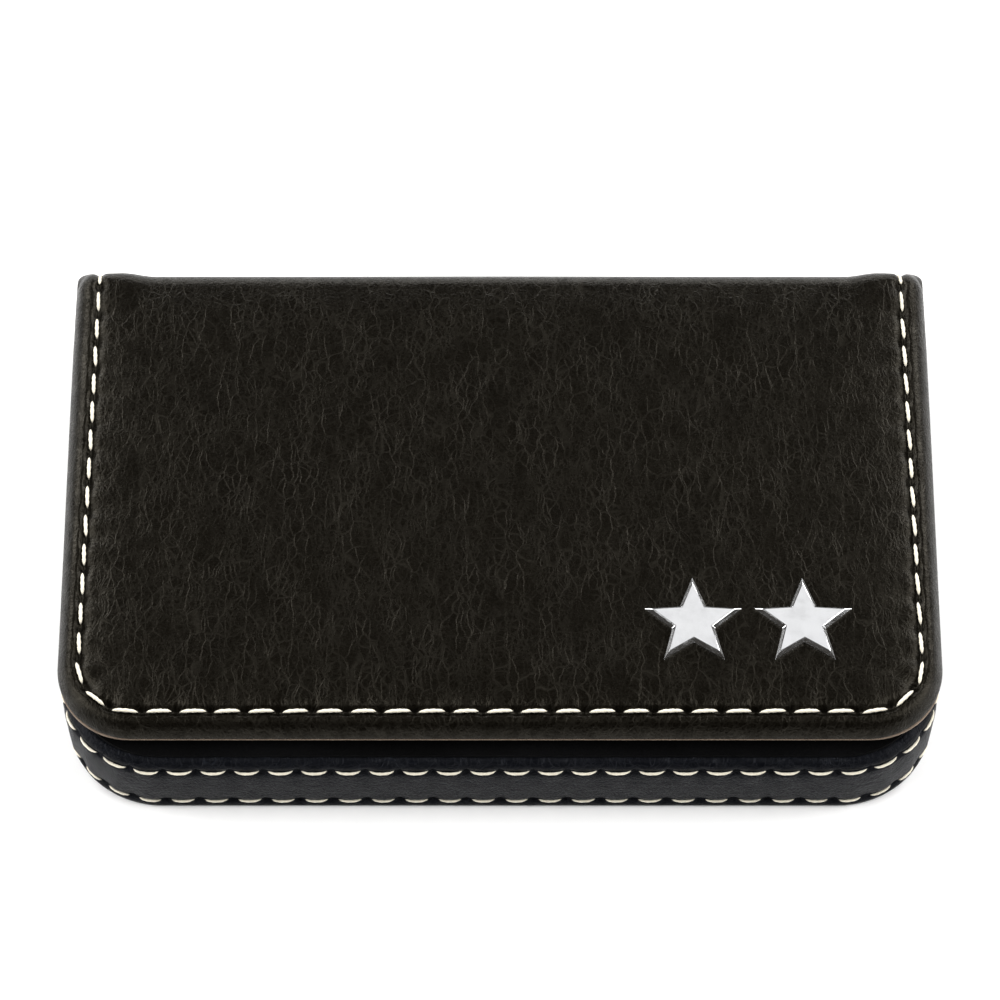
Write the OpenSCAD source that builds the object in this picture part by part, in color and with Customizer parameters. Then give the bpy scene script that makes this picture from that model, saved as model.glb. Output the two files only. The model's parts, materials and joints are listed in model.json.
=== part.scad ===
// Hinged business card case: a leather-wrapped tray with a padded lid on a folding leather spine.
// Millimetres. The front is -Y and the spine is at +Y. The origin is the centre of the closed
// case, on the surface that it stands on.

/* [Cards] */
// Width of the cards that the tray holds
card_w = 88.9; // [70:0.1:110]
// Depth of the cards that the tray holds, front to back
card_d = 50.8; // [40:0.1:70]
// Free space beside the cards, on each side
card_side_gap = 1.45; // [0.8:0.05:3]
// Free space in front of and behind the cards, each
card_end_gap = 0.6; // [0.5:0.05:3]
// Height of the card stack
stack_h = 7.4; // [5:0.1:20]

/* [Leather cover] */
// Thickness of the outer leather
skin_t = 0.8; // [0.5:0.05:1.4]
// Outer radius of the fold between the base and the spine
lower_fold_r = 1.5; // [1.2:0.1:2.2]
// Outer radius of the roll between the spine and the lid
upper_fold_r = 3; // [2.4:0.1:3.6]
// Gap that each fold needs between the stiff pieces
fold_gap = 0.3; // [0.2:0.05:0.6]

/* [Base] */
// Thickness of the stiff board under the tray
floor_board_t = 1.4; // [0.8:0.1:2.5]
// Thickness of the moulded wall frame
frame_t = 1; // [0.8:0.1:1.4]
// Thickness of the leather band round the wall
band_t = 0.8; // [0.6:0.05:1]
// Thickness of the band where it turns in over the wall frame
band_lip_t = 0.5; // [0.3:0.05:0.8]
// Radius of the band's top edge
band_edge_r = 1.2; // [1:0.1:1.6]
// Radius of the base's front corners
base_front_r = 11; // [8:0.5:12]
// Radius of the base's back corners
base_back_r = 4; // [3:0.5:8]

/* [Tray] */
// Thickness of the flocked tray's walls and floor
tray_t = 0.6; // [0.4:0.05:1]
// Thickness of the cloth on the floor of the well
floor_cloth_t = 0.4; // [0.2:0.05:1]
// Thickness of the tray's flange
flange_t = 0.5; // [0.3:0.05:0.8]
// How far the flange stays back from the band's face
flange_setback = 1.2; // [0.8:0.1:2]
// Radius of the well's front corners
well_front_r = 4; // [3.5:0.1:5]
// Radius of the well's back corners
well_back_r = 2; // [1:0.1:3]
// Gap between the tray and the wall frame
tray_gap = 0.35; // [0.2:0.05:0.6]
// Radius of the thumb notch in the front of the well
notch_r = 20; // [14:1:30]
// How far the thumb notch reaches past the well
notch_reach = 2.2; // [1:0.1:2.4]

/* [Lid] */
// How far the lid hangs over the base's sides
lid_side_overhang = 0.5; // [0:0.1:1.5]
// How far the lid's front edge stays back from the base's front
lid_setback = 1.95; // [0:0.05:3]
// Radius of the lid's front corners
lid_front_r = 9; // [6:0.5:12]
// Radius of the lid's upper edge
lid_edge_r = 1.6; // [1:0.1:1.8]
// Thickness of the lid's foam pad
pad_t = 0.75; // [0.5:0.05:2]
// Thickness of the lid's stiff board
lid_board_t = 1.1; // [0.8:0.1:2]
// Thickness of the sheet that lines the lid
lining_t = 0.35; // [0.2:0.05:0.6]
// Thickness of the raised panel under the lid, cloth included
panel_t = 1.2; // [0.8:0.1:2]
// Thickness of the cloth on the raised panel
cloth_t = 0.3; // [0.2:0.05:0.4]
// How far the raised panel stays back from the lid's edge
panel_inset = 1.2; // [0.8:0.1:3]
// Air between the raised panel and the tray's flange
closing_gap = 0.2; // [0.1:0.05:0.6]

/* [Spine] */
// Thickness of the spine's stiff strip
spine_board_t = 1; // [0.6:0.1:1.6]
// Thickness of the spine's lining
spine_lining_t = 0.3; // [0.2:0.05:0.6]

/* [Seams] */
// Distance from one stitch to the next
stitch_pitch = 3.7; // [3:0.1:5]
// Length of a stitch
stitch_len = 2.9; // [2:0.1:3]
// Thickness of the thread
thread_d = 0.55; // [0.4:0.05:0.7]
// Distance of the lid's seam from its edge
seam_inset = 2.7; // [2:0.1:4]
// Distance of the wall's upper seam below the band's top
upper_seam_drop = 1.5; // [1.4:0.1:3]
// Height of the wall's lower seam above the floor
lower_seam_h = 1.5; // [1.4:0.1:3]
// Depth of the groove that a seam lies in
groove_depth = 0.35; // [0.2:0.05:0.45]
// Width of the groove that a seam lies in
groove_w = 0.9; // [0.7:0.05:1.2]

/* [Closure] */
// Length of each bar magnet
magnet_len = 10; // [6:1:16]
// Thickness of each bar magnet, front to back
magnet_t = 2.5; // [2:0.1:4]
// Height of each bar magnet
magnet_h = 3; // [2:0.1:5]
// Distance between the centres of the two magnets
magnet_spacing = 60; // [40:1:62]
// Width of each steel keeper in the lid, front to back
keeper_w = 3; // [2:0.1:5]
// Thickness of each steel keeper
keeper_t = 0.8; // [0.4:0.1:0.8]

/* [Emblems] */
// Distance across the points of each star
star_d = 11.4; // [6:0.1:16]
// Inner radius of a star as a share of its outer radius
star_waist = 0.44; // [0.35:0.01:0.6]
// Thickness of each star
star_t = 0.9; // [0.5:0.1:1.5]
// Distance between the centres of the two stars
star_spacing = 12.2; // [7:0.1:20]
// Distance from the lid's side to the nearer star's centre
star_from_side = 15.6; // [8:0.1:30]
// Distance from the lid's front edge to the stars' centres
star_from_front = 13.2; // [8:0.1:30]

/* [Hidden] */
$fn = 48;

eps = 0.01;
slip = 0.02;              // clearance round a piece that is glued or laid in place
roll_share = 0.2146;      // a fold's axis lies this share of its radius inside the corner,
                          // which keeps the leather's length as the fold opens flat

// The base, from the cards outwards.
well_w = card_w + 2 * card_side_gap;
well_d = card_d + 2 * card_end_gap;
wall_stack = band_t + frame_t + tray_gap + tray_t;
base_w = well_w + 2 * wall_stack;
base_d = well_d + 2 * wall_stack + magnet_t + tray_gap;
spine_stack = skin_t + spine_board_t + spine_lining_t;
case_d = base_d + fold_gap + spine_stack;
case_w = base_w + 2 * lid_side_overhang;

y_front = -case_d / 2;
y_back = case_d / 2;
base_back = y_front + base_d;
well_back = base_back - wall_stack;
well_front = well_back - well_d;
lid_front = y_front + lid_setback;

// Heights, from the floor up.
board_top = skin_t + floor_board_t;
well_floor = board_top + tray_t;
flange_top = well_floor + floor_cloth_t + stack_h;
band_top = flange_top - flange_t;
frame_top = band_top - band_lip_t;
panel_bottom = flange_top + closing_gap;
lining_bottom = panel_bottom + panel_t;
lid_bottom = lining_bottom + lining_t;
lid_board_top = lid_bottom + lid_board_t;
pad_top = lid_board_top + pad_t;
case_h = pad_top + skin_t;

// The spine, between its two folds.
lid_back = y_back - upper_fold_r;
spine_bottom = lower_fold_r + fold_gap;
spine_top = case_h - upper_fold_r - fold_gap;
lower_axis = [y_back - roll_share * lower_fold_r, roll_share * lower_fold_r];
upper_axis = [y_back - roll_share * upper_fold_r, case_h - roll_share * upper_fold_r];
echo(case_w = case_w, case_d = case_d, case_h = case_h);
echo(lower_axis = lower_axis, upper_axis = upper_axis);

magnet_y = y_front + band_t + frame_t + tray_gap + magnet_t / 2;
keeper_y = lid_front + skin_t + fold_gap + keeper_w / 2;
keeper_len = magnet_len + 2 * keeper_w;

leather = [0.09, 0.085, 0.08];
band_leather = [0.2, 0.2, 0.22];
thread = [0.93, 0.9, 0.8];
greyboard = [0.55, 0.52, 0.47];
flock = [0.05, 0.05, 0.055];
steel = [0.72, 0.72, 0.74];

// ---------- outlines ----------

// A rectangle from y0 to y1 with round front and back corners.
module outline(w, y0, y1, front_r, back_r) {
    for (side = [-1, 1]) {
        translate([side * (w / 2 - front_r), y0 + front_r]) circle(front_r);
        if (back_r > 0) translate([side * (w / 2 - back_r), y1 - back_r]) circle(back_r);
    }
    translate([-w / 2, y0 + front_r]) square([w, y1 - y0 - front_r - back_r]);
    translate([-w / 2 + front_r, y0]) square([w - 2 * front_r, front_r + eps]);
    if (back_r > 0)
        translate([-w / 2 + back_r, y1 - back_r - eps]) square([w - 2 * back_r, back_r + eps]);
}

// The base's outline, drawn in by inset all round.
module base_outline(inset = 0) {
    outline(base_w - 2 * inset, y_front + inset, base_back - inset,
            base_front_r - inset, max(base_back_r - inset, 0.5));
}

// The lid's outline up to y1, drawn in by inset at the sides and front.
module lid_outline(inset = 0, y1 = lid_back) {
    outline(case_w - 2 * inset, lid_front + inset, y1, lid_front_r - inset, 0);
}

// The well with its thumb notch, grown by grow.
module well_outline(grow = 0) {
    outline(well_w + 2 * grow, well_front - grow, well_back + grow,
            well_front_r + grow, well_back_r + grow);
    intersection() {
        translate([0, well_front + notch_r - notch_reach]) circle(notch_r + grow, $fn = 96);
        translate([-notch_r, well_front - notch_reach - grow])
            square([2 * notch_r, notch_reach + grow + well_front_r]);
    }
}

module slab(z0, z1) {
    translate([0, 0, z0]) linear_extrude(z1 - z0) children();
}

// ---------- sweeps ----------

// Carries a profile round the base. The profile's x is the distance outwards from the outline
// and its y is the height.
module sweep_base() {
    front_y = y_front + base_front_r;
    back_y = base_back - base_back_r;
    front_x = base_w / 2 - base_front_r;
    back_x = base_w / 2 - base_back_r;
    // centre x, centre y, radius, first angle, length of the straight that leads to the corner
    corners = [[back_x, back_y, base_back_r, 0, back_y - front_y],
               [-back_x, back_y, base_back_r, 90, 2 * back_x],
               [-front_x, front_y, base_front_r, 180, back_y - front_y],
               [front_x, front_y, base_front_r, 270, 2 * front_x]];
    for (c = corners) translate([c[0], c[1]]) rotate(c[3]) {
        rotate_extrude(angle = 90) translate([c[2], 0]) children();
        rotate([90, 0, 0]) linear_extrude(c[4]) translate([c[2], 0]) children();
    }
}

// Carries a profile along the lid's two sides and front, at a distance inset from its edge.
module sweep_lid(inset = 0) {
    r = lid_front_r - inset;
    cx = case_w / 2 - lid_front_r;
    cy = lid_front + lid_front_r;
    side_len = lid_back - cy;
    // centre x, first angle, length of the straight that leads to the corner
    corners = [[-cx, 180, side_len], [cx, 270, 2 * cx]];
    for (c = corners) translate([c[0], cy]) rotate(c[1]) {
        rotate_extrude(angle = 90) translate([r, 0]) children();
        rotate([90, 0, 0]) linear_extrude(c[2]) translate([r, 0]) children();
    }
    translate([cx, lid_back]) rotate([90, 0, 0]) linear_extrude(side_len)
        translate([r, 0]) children();
}

// A quarter ring of leather along X: the outside of a fold whose corner is at (y, z).
module fold(w, y, z, r, first_angle) {
    rotate([90, 0, 90]) linear_extrude(w, center = true) translate([y, z]) intersection() {
        difference() {
            circle(r);
            circle(r - skin_t);
        }
        rotate(first_angle) square(r);
    }
}

// ---------- stitches ----------

// One surface stitch: a short thread with round ends, along X.
module stitch() {
    half = (stitch_len - thread_d) / 2;
    rotate([0, 90, 0]) cylinder(h = 2 * half, d = thread_d, center = true, $fn = 16);
    for (end = [-half, half]) translate([end, 0, 0]) sphere(d = thread_d, $fn = 16);
}

// Where a U-shaped seam is after a length s: [x, y, heading]. It starts at the back of the left
// side, turns round two corners of radius r, and ends at the back of the right side.
function seam_point(s, half_w, y0, y1, r) =
    let (side = y1 - y0 - r, arc = PI * r / 2, front = 2 * (half_w - r))
    s < side ? [-half_w, y1 - s, -90] :
    s < side + arc ? corner_point((s - side) / r * 180 / PI, -half_w + r, y0 + r, r, 180) :
    s < side + arc + front ? [-half_w + r + s - side - arc, y0, 0] :
    s < side + 2 * arc + front
        ? corner_point((s - side - arc - front) / r * 180 / PI, half_w - r, y0 + r, r, 270)
        : [half_w, y0 + r + s - side - 2 * arc - front, 90];

function corner_point(turn, cx, cy, r, first) =
    [cx + r * cos(first + turn), cy + r * sin(first + turn), first + turn + 90];

function seam_length(half_w, y0, y1, r) = 2 * (y1 - y0 - r) + PI * r + 2 * (half_w - r);

// A whole U-shaped seam at height z, with the stitches spread evenly.
module seam(half_w, y0, y1, r, z) {
    total = seam_length(half_w, y0, y1, r);
    count = round(total / stitch_pitch);
    for (i = [0 : count - 1]) {
        p = seam_point((i + 0.5) * total / count, half_w, y0, y1, r);
        translate([p[0], p[1], z]) rotate(p[2]) stitch();
    }
}

// ---------- base ----------

module base_cover() color(leather) {
    slab(0, skin_t) outline(base_w, y_front, y_back - lower_fold_r, base_front_r, 0);
    fold(base_w, y_back - lower_fold_r, lower_fold_r, lower_fold_r, 270);
}

module base_board() color(greyboard)
    slab(skin_t, board_top) base_outline(band_t + slip);

module wall_frame() color([0.12, 0.12, 0.13])
    slab(board_top, frame_top) difference() {
        base_outline(band_t + slip);
        base_outline(band_t + frame_t);
    }

// The band's section: it stands on the base cover, and turns in over the wall frame.
module band_section() {
    lip_in = band_t + frame_t;
    difference() {
        union() {
            translate([-lip_in, skin_t]) square([lip_in, band_top - band_edge_r - skin_t]);
            translate([-lip_in, skin_t]) square([lip_in - band_edge_r, band_top - skin_t]);
            translate([-band_edge_r, band_top - band_edge_r]) intersection() {
                circle(band_edge_r);
                square(band_edge_r);
            }
        }
        translate([-lip_in - eps, 0]) square([lip_in - band_t + eps, frame_top]);
        for (z = [band_top - upper_seam_drop, lower_seam_h])
            translate([-groove_depth, z - groove_w / 2]) square([groove_depth + eps, groove_w]);
    }
}

module side_band() color(band_leather) sweep_base() band_section();

// A row of stitches round the sides and front of the wall, at height z.
module wall_seam(z) {
    inset = groove_depth - thread_d / 2 - slip;
    seam(base_w / 2 - inset, y_front + inset, base_back - base_back_r, base_front_r - inset, z);
}

module upper_wall_stitching() color(thread) wall_seam(band_top - upper_seam_drop);

module lower_wall_stitching() color(thread) wall_seam(lower_seam_h);

module card_tray() color(flock) difference() {
    union() {
        slab(board_top, band_top) well_outline(tray_t);
        slab(band_top, flange_top) base_outline(flange_setback);
    }
    slab(well_floor, flange_top + eps) well_outline();
}

module tray_floor_cloth() color([0.07, 0.07, 0.075])
    slab(well_floor, well_floor + floor_cloth_t)
        outline(well_w - 2 * slip, well_front + slip, well_back - slip,
                well_front_r - slip, well_back_r - slip);

module base_magnets() color(steel)
    for (side = [-1, 1])
        translate([side * magnet_spacing / 2 - magnet_len / 2, magnet_y - magnet_t / 2,
                   band_top - slip - magnet_h])
            cube([magnet_len, magnet_t, magnet_h]);

// ---------- spine ----------

// An upright plate of the spine, from one distance inside its outer face to another.
module spine_plate(w, outer, inner) {
    translate([-w / 2, y_back - inner, spine_bottom]) cube([w, inner - outer, spine_top - spine_bottom]);
}

module spine_cover() color(leather) difference() {
    spine_plate(case_w, 0, skin_t);
    for (side = [-1, 1])
        translate([side * (case_w / 2 - seam_inset) - groove_w / 2, y_back - groove_depth, 0])
            cube([groove_w, groove_depth + eps, case_h]);
}

module spine_board() color(greyboard)
    spine_plate(case_w - 2 * seam_inset - groove_w, skin_t, skin_t + spine_board_t);

module spine_lining() color(flock)
    spine_plate(case_w - 2 * panel_inset, skin_t + spine_board_t, spine_stack);

module spine_stitching() color(thread) {
    run = spine_top - spine_bottom;
    count = floor(run / stitch_pitch);
    for (side = [-1, 1]) for (i = [0 : count - 1])
        translate([side * (case_w / 2 - seam_inset), y_back - groove_depth + thread_d / 2 + slip,
                   spine_bottom + (i + 0.5) * run / count])
            rotate([0, 90, 0]) stitch();
}

// ---------- lid ----------

module lid_cover() color(leather) {
    difference() {
        union() {
            slab(lid_bottom, case_h - lid_edge_r) lid_outline();
            slab(case_h - lid_edge_r - eps, case_h) lid_outline(lid_edge_r);
            sweep_lid(lid_edge_r) translate([0, case_h - lid_edge_r]) intersection() {
                circle(lid_edge_r);
                square(lid_edge_r);
            }
        }
        slab(lid_bottom - eps, pad_top) lid_outline(skin_t, lid_back + eps);
        sweep_lid(seam_inset) translate([-groove_w / 2, case_h - groove_depth])
            square([groove_w, groove_depth + eps]);
    }
    fold(case_w, lid_back, case_h - upper_fold_r, upper_fold_r, 0);
}

module lid_pad() color([0.35, 0.35, 0.36])
    slab(lid_board_top, pad_top) lid_outline(skin_t + slip, lid_back - fold_gap);

// The stiff board, with a pocket for each keeper.
module lid_board() color(greyboard) difference() {
    slab(lid_bottom, lid_board_top) lid_outline(skin_t + slip, lid_back - fold_gap);
    keepers(lid_bottom - eps, slip);
}

// The two steel keepers above the magnets, grown by grow, from height z up.
module keepers(z, grow = 0) {
    size = [keeper_len + 2 * grow, keeper_w + 2 * grow, lid_bottom + keeper_t + grow - z];
    for (side = [-1, 1])
        translate([side * magnet_spacing / 2 - size[0] / 2, keeper_y - size[1] / 2, z]) cube(size);
}

module lid_keepers() color(steel) keepers(lid_bottom);

module lid_lining() color([0.55, 0.42, 0.3])
    slab(lining_bottom, lid_bottom) lid_outline(0.1, lid_back - fold_gap);

module lid_panel() color(greyboard)
    slab(panel_bottom + cloth_t, lining_bottom)
        lid_outline(panel_inset + cloth_t, lid_back - fold_gap - panel_inset - cloth_t);

// The cloth wraps the panel's underside and its edges.
module lid_panel_cloth() color(flock) difference() {
    slab(panel_bottom, lining_bottom) lid_outline(panel_inset, lid_back - fold_gap - panel_inset);
    slab(panel_bottom + cloth_t, lining_bottom + eps)
        lid_outline(panel_inset + cloth_t - eps, lid_back - fold_gap - panel_inset - cloth_t + eps);
}

module lid_stitching() color(thread)
    seam(case_w / 2 - seam_inset, lid_front + seam_inset, lid_back, lid_front_r - seam_inset,
         case_h - groove_depth + thread_d / 2 + slip);

// ---------- emblems ----------

function star_points(outer, inner) =
    [for (i = [0 : 9]) (i % 2 == 0 ? outer : inner) * [sin(36 * i), cos(36 * i)]];

module star(place) {
    translate([case_w / 2 - star_from_side - place * star_spacing, lid_front + star_from_front, case_h])
        linear_extrude(star_t) polygon(star_points(star_d / 2, star_waist * star_d / 2));
}

module emblem_left() color(steel) star(1);

module emblem_right() color(steel) star(0);

base_cover();
base_board();
wall_frame();
side_band();
upper_wall_stitching();
lower_wall_stitching();
card_tray();
tray_floor_cloth();
base_magnets();
spine_cover();
spine_board();
spine_lining();
spine_stitching();
lid_cover();
lid_pad();
lid_board();
lid_keepers();
lid_lining();
lid_panel();
lid_panel_cloth();
lid_stitching();
emblem_left();
emblem_right();
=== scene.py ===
# %% [markdown]
# # A stitched leather business card case
# The case is a stiff tray for cards, wrapped in leather, with a padded lid that folds open on a
# leather spine. Its working parts come ready made as the frame: boards, tray, magnets and the two
# folds. This lesson adds what a leather worker adds: the skins, the gathered wall, the thread,
# the tan edge of the lining and the metal emblems, and a finish for every part that can be seen.

# %% Load the frame
import json
import math
import bpy
import numpy as np
from mathutils import Matrix, Vector

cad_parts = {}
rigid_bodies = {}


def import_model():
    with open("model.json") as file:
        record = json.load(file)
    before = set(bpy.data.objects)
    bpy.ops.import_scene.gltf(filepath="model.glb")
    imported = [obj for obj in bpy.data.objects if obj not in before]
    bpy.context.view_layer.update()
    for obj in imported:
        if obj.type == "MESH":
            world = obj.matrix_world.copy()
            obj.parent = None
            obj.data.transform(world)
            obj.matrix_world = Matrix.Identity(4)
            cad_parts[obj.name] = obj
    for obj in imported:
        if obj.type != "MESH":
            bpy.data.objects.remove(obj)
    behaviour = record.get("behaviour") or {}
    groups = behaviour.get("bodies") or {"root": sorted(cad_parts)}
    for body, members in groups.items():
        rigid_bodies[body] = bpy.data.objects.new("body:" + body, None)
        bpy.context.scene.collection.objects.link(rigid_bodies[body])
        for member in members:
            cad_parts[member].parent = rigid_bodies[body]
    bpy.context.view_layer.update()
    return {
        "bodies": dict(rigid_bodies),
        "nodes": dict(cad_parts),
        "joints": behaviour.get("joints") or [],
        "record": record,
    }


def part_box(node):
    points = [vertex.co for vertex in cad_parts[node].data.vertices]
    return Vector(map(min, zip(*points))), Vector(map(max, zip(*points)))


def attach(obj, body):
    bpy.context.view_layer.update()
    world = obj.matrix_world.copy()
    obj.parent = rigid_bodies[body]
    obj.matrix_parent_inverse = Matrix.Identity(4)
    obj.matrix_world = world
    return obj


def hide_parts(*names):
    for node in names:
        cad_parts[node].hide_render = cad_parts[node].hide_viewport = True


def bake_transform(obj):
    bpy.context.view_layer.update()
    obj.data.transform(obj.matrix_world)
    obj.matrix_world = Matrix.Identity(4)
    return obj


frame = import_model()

# %% [markdown]
# ## Sizes
# Every place is worked out from the frame's own boxes, in millimetres, so a piece goes where its
# board or seam is. Only the radii and the seams' distances, which a box doesn't tell, are
# written down here once.

# %% Sizes from the frame
MM = 0.001


def box_mm(node):
    """A frame node's lowest and highest corners, in millimetres."""
    low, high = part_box(node)
    return np.array(low) / MM, np.array(high) / MM


lid_low, lid_high = box_mm("lid_cover")
band_low, band_high = box_mm("side_band")
LID_HALF_W = lid_high[0]
LID_FRONT = lid_low[1]
LID_TOP = lid_high[2]
LID_UNDER = box_mm("lid_lining")[1][2]
BACK = lid_high[1]
UPPER_R = LID_TOP - lid_low[2]
LOWER_R = box_mm("base_cover")[1][2]
LID_BACK = BACK - UPPER_R
FLOOR_BACK = BACK - LOWER_R
BASE_HALF_W = band_high[0]
BASE_FRONT = band_low[1]
BASE_BACK = band_high[1]
BAND_TOP = band_high[2]
SPINE_T = BACK - box_mm("spine_lining")[0][1]
SPINE_JOIN = LID_TOP * 0.45
SPINE_HALF_W = LID_HALF_W + 0.1
SIDE_TRIM = 0.3         # how far the lid's leather narrows towards its front
FRONT_TRIM = 0.3        # the lid's leather rolls under a little short of its front edge

LID_R = 9.0             # radius of the lid's front corners
WALL_R = 11.0           # radius of the wall's front corners
WALL_BACK_R = 4.0       # radius of the wall's back corners
SEAM_INSET = 2.7        # the lid's seam, from its edge
UPPER_SEAM = BAND_TOP - 1.5
LOWER_SEAM = 1.6
THREAD_R = 0.21
print("lid", 2 * LID_HALF_W, "wide, folds of", round(UPPER_R, 2), "and", round(LOWER_R, 2), "mm")

# %% [markdown]
# ## The camera
# A long lens from well above the front keeps the lid's sides almost straight, as a catalogue
# shows a case. It aims at the middle of the lid's top, 60 degrees down.

# %% Camera
VIEW_DISTANCE = 468.2
VIEW_ELEVATION = math.radians(60)
AIM = Vector((0, -0.375, LID_TOP))

camera_data = bpy.data.cameras.new("camera")
camera_data.lens = 150
camera_data.sensor_width = 36
camera = bpy.data.objects.new("camera", camera_data)
bpy.context.collection.objects.link(camera)
away = Vector((0, -math.cos(VIEW_ELEVATION), math.sin(VIEW_ELEVATION)))
camera.location = (AIM + away * VIEW_DISTANCE) * MM
camera.rotation_euler = (math.pi / 2 - VIEW_ELEVATION, 0, 0)
bpy.context.scene.camera = camera
print("camera at", [round(c, 4) for c in camera.location])

# %% [markdown]
# ## Small helpers
# Operators act on whatever is selected, so every step starts from nothing selected. A finished
# piece keeps its object at the origin, with its place in its mesh.

# %% Helpers for selecting and finishing
def start_fresh():
    """Leaves edit mode and deselects everything."""
    if bpy.context.mode != "OBJECT":
        bpy.ops.object.mode_set(mode="OBJECT")
    bpy.ops.object.select_all(action="DESELECT")


def edit(piece):
    """Opens one piece in edit mode with nothing in it selected."""
    start_fresh()
    piece.select_set(True)
    bpy.context.view_layer.objects.active = piece
    bpy.ops.object.mode_set(mode="EDIT")
    bpy.ops.mesh.select_mode(type="VERT")
    bpy.ops.mesh.select_all(action="DESELECT")


def pick(piece, test):
    """In edit mode, selects the vertices whose place passes a test."""
    bpy.ops.object.mode_set(mode="OBJECT")
    for vertex in piece.data.vertices:
        vertex.select = bool(test(vertex.co))
    bpy.ops.object.mode_set(mode="EDIT")


# %% Helpers for whole meshes
def points_of(piece):
    """A mesh's vertices as an array, in millimetres."""
    co = np.empty(len(piece.data.vertices) * 3)
    piece.data.vertices.foreach_get("co", co)
    return co.reshape(-1, 3) / MM


def move_points(piece, points):
    """Puts a mesh's vertices where an array of millimetres says."""
    piece.data.vertices.foreach_set("co", (np.asarray(points) * MM).ravel())
    piece.data.update()


def write_map(piece, name, across, along):
    """Writes a UV map from one value each way for every vertex."""
    layers = piece.data.uv_layers
    layer = layers[0] if name == "skin" and layers else layers.new(name=name)
    layer.name = name
    vertex_of = np.empty(len(piece.data.loops), int)
    piece.data.loops.foreach_get("vertex_index", vertex_of)
    layer.data.foreach_set("uv", np.stack([across[vertex_of], along[vertex_of]], 1).ravel())


# %% Helper for a finished piece
def finish_piece(piece, name, material, body=None, smooth=None):
    """Names a piece, settles its place in its mesh, and gives it its material and body."""
    start_fresh()
    piece.name = name
    piece.data.name = name
    piece.select_set(True)
    bpy.context.view_layer.objects.active = piece
    bpy.ops.object.transform_apply(location=True, rotation=True, scale=True)
    piece.data.materials.clear()
    piece.data.materials.append(material)
    if smooth is None:
        bpy.ops.object.shade_smooth()
    else:
        bpy.ops.object.shade_smooth_by_angle(angle=math.radians(smooth))
    if body:
        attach(piece, body)
    print(name, len(piece.data.polygons), "faces")
    return piece


# %% Two soft curves
def smoothstep(t):
    """0 below 0 and 1 above 1, with a soft S between."""
    t = np.clip(t, 0, 1)
    return t * t * (3 - 2 * t)


def hump(distance, width):
    """1 at distance 0, falling to 0 over about twice the width."""
    return np.exp(-(np.asarray(distance) / width) ** 2)


print("halfway up the soft step:", smoothstep(0.5), "; a width away on the hump:",
      round(float(hump(1, 1)), 2))

# %% [markdown]
# ## Materials
# Each finish starts from the real material. One function turns hex colours linear and one adds a
# node. Leather patterns read a UV map in real millimetres that follows the skin round its folds.

# %% Helpers for materials
def linear(hex_colour):
    """An sRGB hex colour as the linear RGBA that a shader expects."""
    values = [int(hex_colour[i:i + 2], 16) / 255 for i in (1, 3, 5)]
    return [v / 12.92 if v <= 0.04045 else ((v + 0.055) / 1.055) ** 2.4 for v in values] + [1]


def new_material(name, hex_colour, **settings):
    """A material with one principled shader, and its settings by their names on that shader."""
    material = bpy.data.materials.new(name)
    material.use_nodes = True
    shader = material.node_tree.nodes["Principled BSDF"]
    shader.inputs["Base Color"].default_value = linear(hex_colour)
    material.diffuse_color = linear(hex_colour)
    for key, value in settings.items():
        shader.inputs[key.replace("_", " ")].default_value = value
    return material, material.node_tree, shader


def add_node(tree, kind, links=None, **settings):
    """Adds one node. links gives each input a value or another node's output."""
    made = tree.nodes.new(kind)
    for key, value in settings.items():
        setattr(made, key, value)
    for key, value in (links or {}).items():
        if isinstance(value, bpy.types.NodeSocket):
            tree.links.new(value, made.inputs[key])
        else:
            made.inputs[key].default_value = value
    return made


def pattern_place(tree, source, size):
    """Where a pattern reads: a UV map in millimetres or Object coordinates, over its cell size."""
    if source == "skin":
        start = add_node(tree, "ShaderNodeUVMap", uv_map="skin").outputs["UV"]
    else:
        start = add_node(tree, "ShaderNodeTexCoord").outputs["Object"]
    return add_node(tree, "ShaderNodeMapping", {"Vector": start, "Scale": [1 / s for s in size]},
                    vector_type="POINT").outputs["Vector"]

# %% [markdown]
# ### Leather for the lid, spine and base
# Corrected-grain cowhide, dyed black right through and pressed with a fine print. As it is
# pulled over the pad, the finish opens in thin creases that run mostly from front to back.
# They read a little lighter than the skin, only in patches: a painted highlight for the light they
# catch.

# %% A net of creases
def crease_net(tree, place, number, width, length, line, strength, patch):
    """Fine lines between cells of this width and length in millimetres, shown in patches."""
    cell = add_node(tree, "ShaderNodeMapping",
                    {"Vector": place, "Scale": (1 / width, 1 / length, 0),
                     "Location": (17 * number, 0, 0), "Rotation": (0, 0, 0.2 - 0.25 * number)})
    edge = add_node(tree, "ShaderNodeTexVoronoi", {"Vector": cell.outputs[0], "Scale": 1},
                    feature="DISTANCE_TO_EDGE")
    net = add_node(tree, "ShaderNodeMapRange",
                   {"Value": edge.outputs["Distance"], "From Min": 0, "From Max": line / width,
                    "To Min": strength, "To Max": 0}, interpolation_type="SMOOTHSTEP")
    here = add_node(tree, "ShaderNodeTexNoise",
                    {"Vector": cell.outputs[0], "Scale": 1 / patch, "Detail": 3})
    shown = add_node(tree, "ShaderNodeMapRange",
                     {"Value": here.outputs[0], "From Min": 0.34, "From Max": 0.6})
    return add_node(tree, "ShaderNodeMath", {0: net.outputs[0], 1: shown.outputs[0]},
                    operation="MULTIPLY").outputs[0]


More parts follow.
